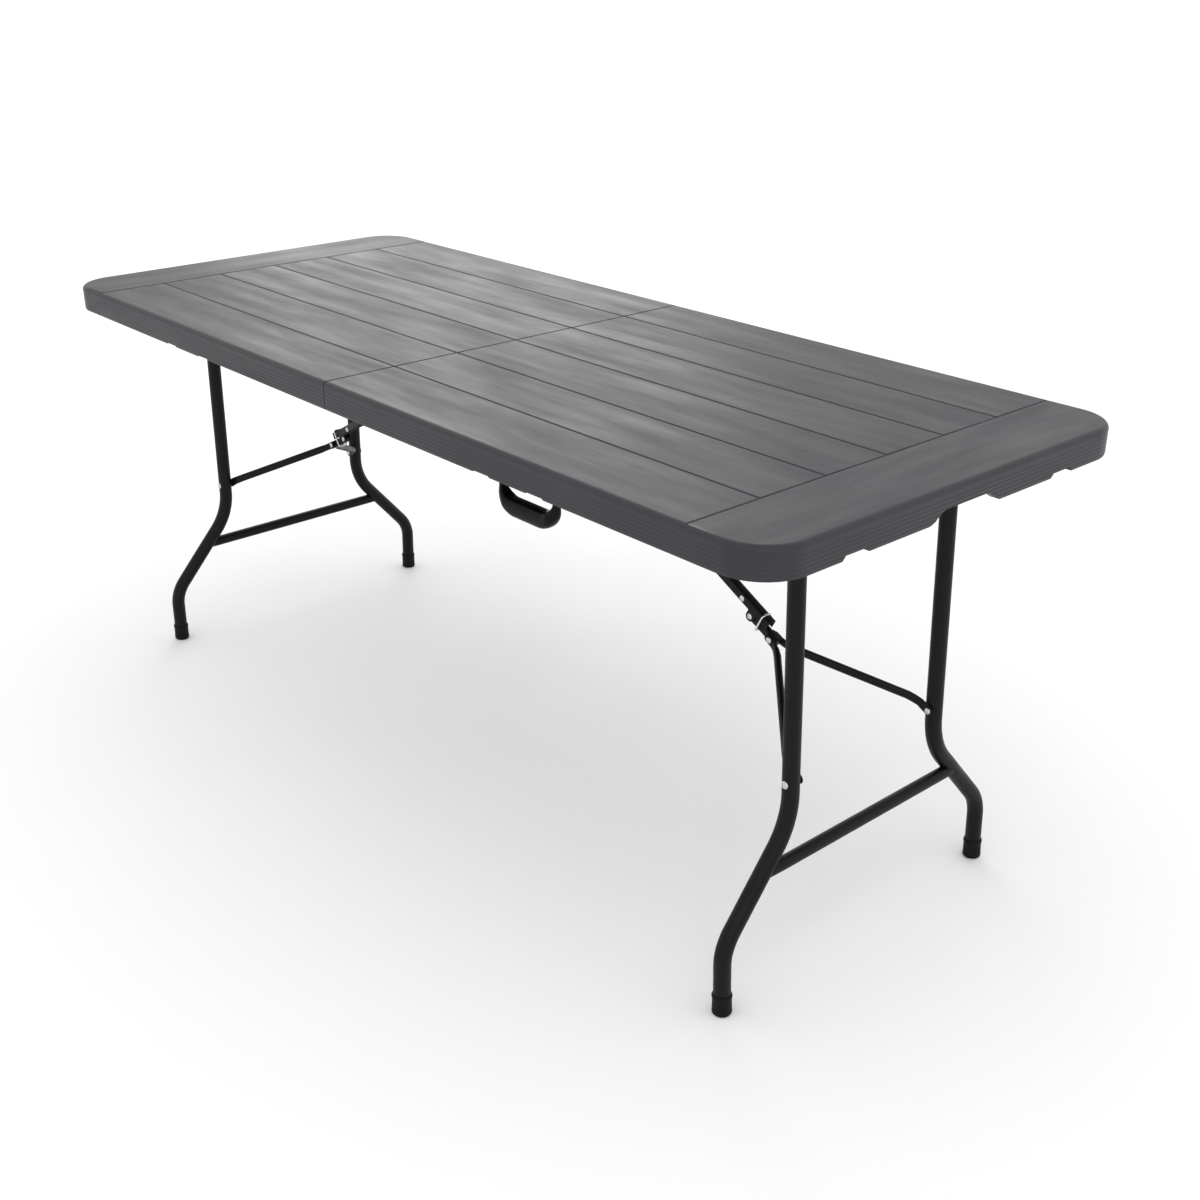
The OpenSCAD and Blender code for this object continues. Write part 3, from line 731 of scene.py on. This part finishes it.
def in_frame(side, across, height, out=0.0):
    """A point of the leaning leg frame: across the table, height over the floor, outwards."""
    down = (LEG_Z - height) / math.cos(LEAN)
    x = LEG_X + down * math.sin(LEAN) + out * math.cos(LEAN)
    return Vector((side * x, across, height + out * math.sin(LEAN)))


def leg_path(side, s):
    upper_radius, lower_radius = 115 * MM, 70 * MM
    top = in_frame(side, s * UP_Y, LEG_Z)
    upper = in_frame(side, s * UP_Y, 252 * MM)
    lower = in_frame(side, s * FOOT_Y, 104 * MM)
    foot = in_frame(side, s * FOOT_Y, 6 * MM)
    points = [top, top.lerp(upper, 0.5)]
    points += arc_points(top, upper, lower, upper_radius)
    points += arc_points(upper, lower, foot, lower_radius)
    points.append(foot)
    return points


for side, s in (("left", -1), ("right", 1)):
    for place, t in (("front", -1), ("rear", 1)):
        name = f"{side}_{place}_leg"
        stations = [(p, LEG_R, LEG_R, 2) for p in leg_path(s, t)]
        leg = loft(stations, name + "_tube", STEEL, count=32)
        settle(leg, body_of_node(name), "black_steel", name)
print("legs:", len(stations), "stations each")

# %% [markdown]
# ## Cross bars
# The cross bar is a thinner tube, pressed a little at both ends and welded between the legs. It stops
# inside the legs' outline, so the weld hides its cut ends.

# %% Cross bars
def cross_bar(side, s):
    height, r, out, pressed_run = 192 * MM, 9.5 * MM, 3 * MM, 40 * MM
    start = abs(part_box(side + "_cross_bar")[1].y) - 2 * MM - pressed_run
    presses = [(0, 1), (18, 0.99), (30, 0.92), (40, 0.84)]
    run = [(-(start + y * MM), thick) for y, thick in reversed(presses)]
    run += [(start + y * MM, thick) for y, thick in presses]
    stations = [(in_frame(s, y, height, out), thick * r, r, 2.2) for y, thick in run]
    return loft(stations, side + "_cross_tube", STEEL, up=(0, 0, 1))


for side, s in (("left", -1), ("right", 1)):
    bar = settle(cross_bar(side, s), body_of_node(side + "_cross_bar"), "black_steel",
                 side + "_cross_bar")
    print(bar.name, "spans", [round(c, 3) for c in bar.bound_box[0]])

# %% [markdown]
# ## Foot caps
# A foot cap is a moulded cup with a rolled rim, a slight waist and a rounded sole. It is a lathe
# shape round the leg's lower run, trimmed flat where it meets the floor.

# %% Foot caps
def foot_cap(s, t, name):
    """Radius and height in millimetres, from the sole up the outside and down into the cup."""
    profile = [(10.5, 0.0), (12.6, 0.5), (13.9, 2.0), (14.3, 4.0), (14.0, 9.0), (13.8, 18.0),
               (13.9, 26.0), (14.5, 27.5), (14.5, 30.0), (13.9, 31.6), (12.9, 32.0), (12.55, 31.4),
               (12.52, 20.0)]
    axis_low = in_frame(s, t * FOOT_Y, 0)
    axis = (in_frame(s, t * FOOT_Y, 0.1) - axis_low).normalized()
    side_a = axis.orthogonal().normalized()
    side_b = axis.cross(side_a)
    count = 40
    rings = []
    for radius, height in profile:
        ring = []
        for i in range(count):
            a = 2 * math.pi * i / count
            p = axis_low + axis * height * MM + (side_a * math.cos(a) + side_b * math.sin(a)) * radius * MM
            ring.append(Vector((p.x, p.y, max(p.z, 0.0) if height > 0 else 0.0)))
        rings.append(ring)
    return object_from(shell_from_rings(rings), name + "_cap", RUBBER, 50)


for side, s in (("left", -1), ("right", 1)):
    for place, t in (("front", -1), ("rear", 1)):
        name = f"{side}_{place}_foot"
        cap = settle(foot_cap(s, t, name), body_of_node(name), "black_plastic", name)
print("foot caps rest at", round(min(v.co.z for v in cap.data.vertices), 5))

# %% [markdown]
# ## Wishbone braces
# Two tubes leave the folded apex bracket and spread to the legs. Each end is squeezed flat to take a
# rivet. The path runs along the brace's own line, so it is placed by the brace's fall.

# %% Brace tubes
BAR_X, BAR_Z = 35 * MM, 708 * MM
RIVET_Z = 312 * MM
rivet = in_frame(1, 0, RIVET_Z)
open_length = math.hypot(rivet.x - BAR_X, BAR_Z - rivet.z)
shut_length = math.hypot(LEG_X - (LEG_Z - RIVET_Z) / math.cos(LEAN) - BAR_X, LEG_Z - BAR_Z)
LINK = (open_length + shut_length) / 2
WISH = (open_length - shut_length) / 2
FALL = math.atan2(BAR_Z - rivet.z, rivet.x - BAR_X)


def on_brace(s, u, y, v):
    """A point given along the brace, across the table and square to the brace, from the bar."""
    x = BAR_X + u * math.cos(FALL) + v * math.sin(FALL)
    return Vector((s * x, y, BAR_Z - u * math.sin(FALL) + v * math.cos(FALL)))


def brace_tube(s, t, name):
    """Stations past the apex: along the brace, across the table, two half sizes and the power."""
    far = WISH - 30 * MM
    plate_y = UP_Y - LEG_R - 2.2 * MM
    runs = [(40, 8.7, 1.6, 3.0, 3), (41, 8.7, 1.6, 4.8, 3), (43, 8.7, 1.6, 6.0, 3), (46, 8.7, 1.6, 6.5, 3),
            (56, 8.8, 1.7, 6.6, 3), (62, 10.2, 2.6, 6.4, 2.6), (69, 13.2, 4.2, 6.6, 2.2),
            (78, 18.8, 5.2, 7.1, 2)]
    stations = [(LINK + u * MM, y * MM, a * MM, b * MM, p) for u, y, a, b, p in runs]
    stations += [(LINK + far - 6 * MM, plate_y - 9 * MM, 5.2 * MM, 7.1 * MM, 2),
                 (LINK + far + 3 * MM, plate_y - 4.2 * MM, 4.0 * MM, 7.2 * MM, 2.3),
                 (LINK + far + 11 * MM, plate_y - 0.6 * MM, 2.2 * MM, 7.4 * MM, 2.8),
                 (LINK + far + 18 * MM, plate_y, 1.6 * MM, 8 * MM, 3),
                 (LINK + WISH + 1 * MM, plate_y, 1.6 * MM, 7.9 * MM, 3),
                 (LINK + WISH + 4.5 * MM, plate_y, 1.6 * MM, 6.6 * MM, 3),
                 (LINK + WISH + 7 * MM, plate_y, 1.6 * MM, 4.2 * MM, 3),
                 (LINK + WISH + 8 * MM, plate_y, 1.5 * MM, 1.8 * MM, 3)]
    placed = [(on_brace(s, u, t * y, 0), a, b, p) for u, y, a, b, p in stations]
    up = (on_brace(s, 0, 0, 1) - on_brace(s, 0, 0, 0)).normalized()
    return loft(placed, name + "_lofted", STEEL, up=up, count=24)


for side, s in (("left", -1), ("right", 1)):
    for place, t in (("front", -1), ("rear", 1)):
        name = f"{side}_{place}_brace_tube"
        settle(brace_tube(s, t, name), body_of_node(name), "black_steel", name)
print("brace line", round(math.degrees(FALL), 2), "degrees, link", round(LINK, 4), "m")

# %% [markdown]
# ## Lock rings
# A lock ring is one piece of wire bent to a rounded rectangle and welded shut. It slides along the
# link, and holds the joint straight when it sits beyond it.

# %% Lock rings
def lock_ring(side, s):
    y, low, high, bend = 9.1 * MM, -9.4 * MM, 23 * MM, 5 * MM
    corners = [Vector((y, low)), Vector((y, high)), Vector((-y, high)), Vector((-y, low))]
    path = []
    for i in range(4):
        before, here, after = corners[i - 1], corners[i], corners[(i + 1) % 4]
        a, b = here + (before - here).normalized() * bend, here + (after - here).normalized() * bend
        for k in range(9):
            q = k / 8
            path.append(a * (1 - q) ** 2 + here * 2 * q * (1 - q) + b * q * q)
    centre = [on_brace(s, LINK + 20 * MM, p.x, p.y) for p in path]
    along = (on_brace(s, 1, 0, 0) - on_brace(s, 0, 0, 0)).normalized()
    rings = []
    for i, p in enumerate(centre):
        ahead = (centre[(i + 1) % len(centre)] - centre[i - 1]).normalized()
        rings.append(section(p, along, ahead.cross(along).normalized(), 1.5 * MM, 1.5 * MM, 2, 16))
    return object_from(shell_from_rings(rings, closed_along=True), side + "_wire_ring", PLATED, 60)


for side, s in (("left", -1), ("right", 1)):
    ring = settle(lock_ring(side, s), body_of_node(side + "_lock_ring"), "ring_wire",
                  side + "_lock_ring")

# %% [markdown]
# ## Carry handle
# The handle is a chunky moulded loop: slim arms that hang from two pins and a thick rounded grip. The
# loft goes down one arm, round the corner, along the grip and up again, and its section swells.

# %% Carry handle
def handle_edges(steps=22):
    """Points down the outer and the inner edge of one arm and half the grip, for a crescent loop."""
    half, drop, grip, arm = 61 * MM, 55 * MM, 27 * MM, 8.5 * MM
    big, small = 36 * MM, 15 * MM
    outer, inner = [], []
    for i in range(steps + 1):
        a = math.radians(90 * i / steps)
        outer.append((-half + big * (1 - math.cos(a)), -drop + big * (1 - math.sin(a))))
        inner.append((-half + arm + small * (1 - math.cos(a)) * 1.5,
                      -drop + grip + small * (1 - math.sin(a))))
    top = [((-half, 4 * MM), (-half + 8 * MM, 4 * MM)), ((-half, 0), (-half + arm, 0)),
           ((-half, -8 * MM), (-half + arm, -7 * MM))]
    grip_end = [((x, -drop), (x, -drop + grip)) for x in (-18 * MM, -6 * MM)]
    return top + list(zip(outer, inner)) + grip_end


def carry_handle():
    low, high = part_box("carry_handle")
    mid_x, mid_y, pivot_z = (low.x + high.x) / 2, (low.y + high.y) / 2, high.z - 5 * MM
    edges = handle_edges()
    edges += [((-ox, oz), (-ix, iz)) for (ox, oz), (ix, iz) in reversed(edges)]
    rings = []
    for (ox, oz), (ix, iz) in edges:
        a, b = Vector((ox, 0, oz)), Vector((ix, 0, iz))
        thick = (a - b).length / 2
        deep = min(4.6 * MM + max(thick - 4.3 * MM, 0), 11.8 * MM)
        centre = Vector((mid_x, mid_y, pivot_z)) + (a + b) / 2
        rings.append(section(centre, (b - a).normalized(), Vector((0, 1, 0)), thick, deep, 2.6, 36))
    piece = object_from(shell_from_rings(rings), "moulded_handle", HANDLE_PLASTIC, 60)
    return settle(piece, body_of_node("carry_handle"), "black_plastic", "carry_handle")


handle = carry_handle()
print(handle.name, len(handle.data.polygons), "faces")

# %% [markdown]
# ## Pressed and turned steel
# Rails, hinge leaves, the brace links, brackets and pins already have the right shape, but their
# edges are as sharp as a drawing. A merged copy gets a fine bevel, because a real pressed edge
# catches a thread of light.

# %% Softened copies
def softened(name, finish, slot, width=0.5):
    source = nodes[name]
    bm = bmesh.new()
    bm.from_mesh(source.data)
    bmesh.ops.remove_doubles(bm, verts=bm.verts, dist=0.01 * MM)
    bmesh.ops.dissolve_limit(bm, angle_limit=math.radians(1.2), verts=bm.verts, edges=bm.edges)
    piece = object_from(bm, name + "_finished", finish, 32)
    edge = piece.modifiers.new("fine edge", "BEVEL")
    edge.width, edge.segments, edge.limit_method = width * MM, 2, "ANGLE"
    edge.angle_limit = math.radians(50)
    edge.use_clamp_overlap = True
    bake(piece)
    piece.data.materials.clear()
    piece.data.materials.append(finish)
    piece.data.shade_smooth()
    piece.data.set_sharp_from_angle(angle=math.radians(40))
    return settle(piece, body_of_node(name), slot, name)


pressed = [n for n in nodes if n.endswith(("_rail", "_hinge_leaf", "_brace_link", "_brace_apex",
                                           "_brace_bar", "_pivot_tube")) or n == "handle_brackets"]
pins = [n for n in nodes if n.endswith("_hinge_pin")]
bushes = [n for n in nodes if n.endswith("_leg_bushes")]
for name in pressed:
    softened(name, STEEL, "black_steel", 0.35 if "leaf" in name else 0.5)
for name in pins:
    softened(name, ZINC, "zinc", 0.4)
for name in bushes:
    softened(name, RUBBER, "black_plastic", 0.4)
print("softened:", len(pressed + pins + bushes))

# %% [markdown]
# ## Rivets and screws
# Rivet heads are low domes on a thin collar. Their places come from the CAD nodes: each loose part
# of a node is one fastener. A tree puts the same head on every point and turns it to face outwards.

# %% Head tree
def head_tree():
    t = GrowTree("domed heads")
    radius, height = t.input("Radius", "Float"), t.input("Height", "Float")
    facing = t.add("GeometryNodeInputNamedAttribute", {"Name": "facing"}, data_type="FLOAT_VECTOR")
    turn = t.add("FunctionNodeAlignRotationToVector", {"Vector": facing.outputs[0]}, axis="Z")
    ball = t.add("GeometryNodeMeshUVSphere", {"Segments": 24, "Rings": 12, "Radius": 1.0})
    flat = t.add("ShaderNodeCombineXYZ", {"X": radius, "Y": radius, "Z": height})
    dome = t.add("GeometryNodeTransform", {"Geometry": ball.outputs[0], "Scale": flat.outputs[0]})
    heads = t.add("GeometryNodeInstanceOnPoints", {"Points": t.start.outputs[0],
                                                   "Instance": dome.outputs[0],
                                                   "Rotation": turn.outputs[0]})
    t.finish(heads.outputs[0])
    return t


def loose_parts(name):
    """The box of every separate solid in a CAD node."""
    bm = bmesh.new()
    bm.from_mesh(nodes[name].data)
    bmesh.ops.remove_doubles(bm, verts=bm.verts, dist=0.01 * MM)
    left = set(bm.verts)
    boxes = []
    while left:
        stack, part = [left.pop()], []
        while stack:
            v = stack.pop()
            part.append(v.co.copy())
            for e in v.link_edges:
                w = e.other_vert(v)
                if w in left:
                    left.discard(w)
                    stack.append(w)
        boxes.append((Vector([min(c[i] for c in part) for i in range(3)]),
                      Vector([max(c[i] for c in part) for i in range(3)])))
    bm.free()
    return boxes


head = head_tree()
print("rail screws:", len(loose_parts("right_rail_screws")), "on one side")

# %% [markdown]
# ## Heads in their places
# Rail screws go up into the plastic from below, so their heads face the floor. Rivets lie across the
# table, and each shows its head on the side that has room for it: outwards on the legs and links,
# inwards at the hinges and on the braces. A dome reaches about as far as the plain head it stands for.

# %% Place the heads
def heads_on(name, points, radius, height):
    seed = seed_object(name + "_heads", [p for p, _ in points], facings=[f for _, f in points])
    head.grow(seed, Radius=radius * MM, Height=height * MM, Finish=ZINC)
    seed.data.shade_smooth()
    return settle(seed, body_of_node(name), "zinc", name)


def middle(box):
    return (box[0] + box[1]) / 2


def screws_from_below(name, radius):
    points = []
    for box in loose_parts(name):
        c = middle(box)
        points.append((Vector((c.x, c.y, box[0].z + 2.0 * MM)), (0, 0, -1)))
    return heads_on(name, points, radius, 1.9)


def rivets_across(name, radius, height, outwards):
    """Heads that face along Y, on the outer or the inner face of each loose part."""
    points = []
    for box in loose_parts(name):
        c = middle(box)
        both = box[0].y < 0 < box[1].y
        for s in ((-1, 1) if both else (1 if c.y > 0 else -1,)):
            f = s if outwards or both else -s
            y = (box[1].y if f > 0 else box[0].y) - f * height * MM
            points.append((Vector((c.x, y, c.z)), (0, f, 0)))
    return heads_on(name, points, radius, height)


for side in ("left", "right"):
    screws_from_below(side + "_rail_screws", 4.0)
    rivets_across(side + "_hinge_rivets", 4.0, 1.6, False)
    rivets_across(side + "_leg_rivets", 6.0, 1.8, True)
    rivets_across(side + "_link_rivets", 4.6, 0.4, True)
    rivets_across(side + "_brace_rivets", 5.0, 1.6, False)
screws_from_below("handle_screws", 4.0)
